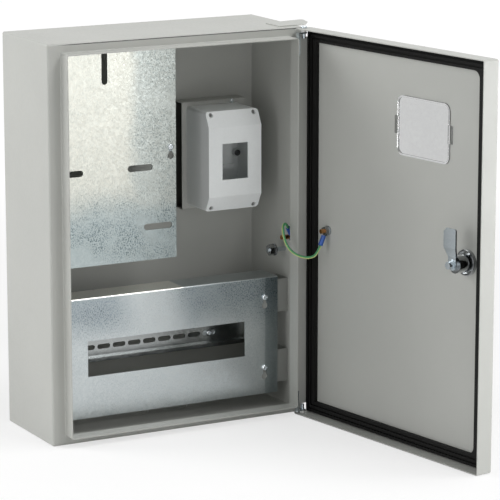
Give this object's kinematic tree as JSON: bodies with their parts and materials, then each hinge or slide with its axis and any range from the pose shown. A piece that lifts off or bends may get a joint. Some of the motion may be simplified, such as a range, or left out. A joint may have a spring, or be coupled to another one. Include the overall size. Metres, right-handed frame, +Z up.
{
  "type": "electric meter box",
  "caption": "Wall-mounted sheet steel electric meter cabinet with a hinged windowed door, rubber seal, cam lock, meter plate, module cover and earthing lead.",
  "frame": {"origin": "middle of the four wall holes on the outer back face, half way up the cabinet", "axes": "+X to the right seen from the front, +Y into the wall, +Z up; the door opens towards -Y and is stored open"},
  "size_m": [0.4145, 0.4907, 0.5023],
  "materials": {
    "paint": "fine textured powder coat, light grey",
    "galvanised": "galvanised sheet with a soft spangle",
    "zinc_plate": "bright zinc plate",
    "lock_chrome": "polished chrome plate",
    "copper_plate": "copper plated steel",
    "seal_rubber": "matt black rubber",
    "clear_pane": "clear smooth sheet",
    "bush_plastic": "white plastic",
    "box_grey": "smooth grey plastic",
    "box_white": "smooth white plastic",
    "dark_screw": "black finished screws",
    "blue_sleeve": "blue insulating sleeve",
    "wire_green": "green insulation with a yellow stripe"
  },
  "bodies": {
    "cabinet": {"cabinet_shell": "paint", "corner_plate": "paint", "hinge_bracket_lower": "zinc_plate", "hinge_bracket_upper": "zinc_plate", "hinge_pin_lower": "zinc_plate", "hinge_pin_upper": "zinc_plate", "hinge_bush_lower": "bush_plastic", "hinge_bush_upper": "bush_plastic", "meter_plate": "galvanised", "plate_post": "galvanised", "plate_side_bracket": "galvanised", "plate_screws": "zinc_plate", "module_cover": "galvanised", "cover_bracket_left_lower": "galvanised", "cover_bracket_left_upper": "galvanised", "cover_bracket_right_lower": "galvanised", "cover_bracket_right_upper": "galvanised", "cover_screws": "zinc_plate", "module_rail": "galvanised", "rail_post_left": "galvanised", "rail_post_right": "galvanised", "rail_screws": "zinc_plate", "raised_frame": "paint", "module_box_base": "box_grey", "module_box_cover": "box_white", "module_box_screws": "dark_screw", "module_box_rail": "box_grey", "frame_screws": "zinc_plate", "module_box_fixings": "dark_screw", "body_earth_stud": "copper_plate", "body_earth_nut": "zinc_plate", "body_earth_terminal": "zinc_plate", "body_terminal_sleeve": "blue_sleeve", "main_earth_bolt": "zinc_plate", "main_earth_nut": "zinc_plate", "earth_wire": "wire_green"},
    "door": {"door_panel": "paint", "window_pane": "clear_pane", "door_seal": "seal_rubber", "lock_body": "lock_chrome", "lock_ring": "lock_chrome", "door_earth_stud": "copper_plate", "door_earth_nut": "zinc_plate", "door_earth_terminal": "zinc_plate", "door_terminal_sleeve": "blue_sleeve"},
    "cam": {"lock_core": "zinc_plate", "lock_cam": "zinc_plate", "cam_bolt": "zinc_plate"}
  },
  "joints": [
    {"name": "door_hinge", "type": "hinge", "parent": "cabinet", "child": "door", "pos_m": [0.17, -0.1476, 0], "axis": [0, 0, 1], "range_deg": [-99, 16], "deforming": ["earth_wire"]},
    {"name": "cam_lock", "type": "hinge", "parent": "door", "child": "cam", "pos_m": [0.23133, -0.4396, 0], "axis": [0.9877, 0.1564, 0], "range_deg": [0, 90]}
  ]
}
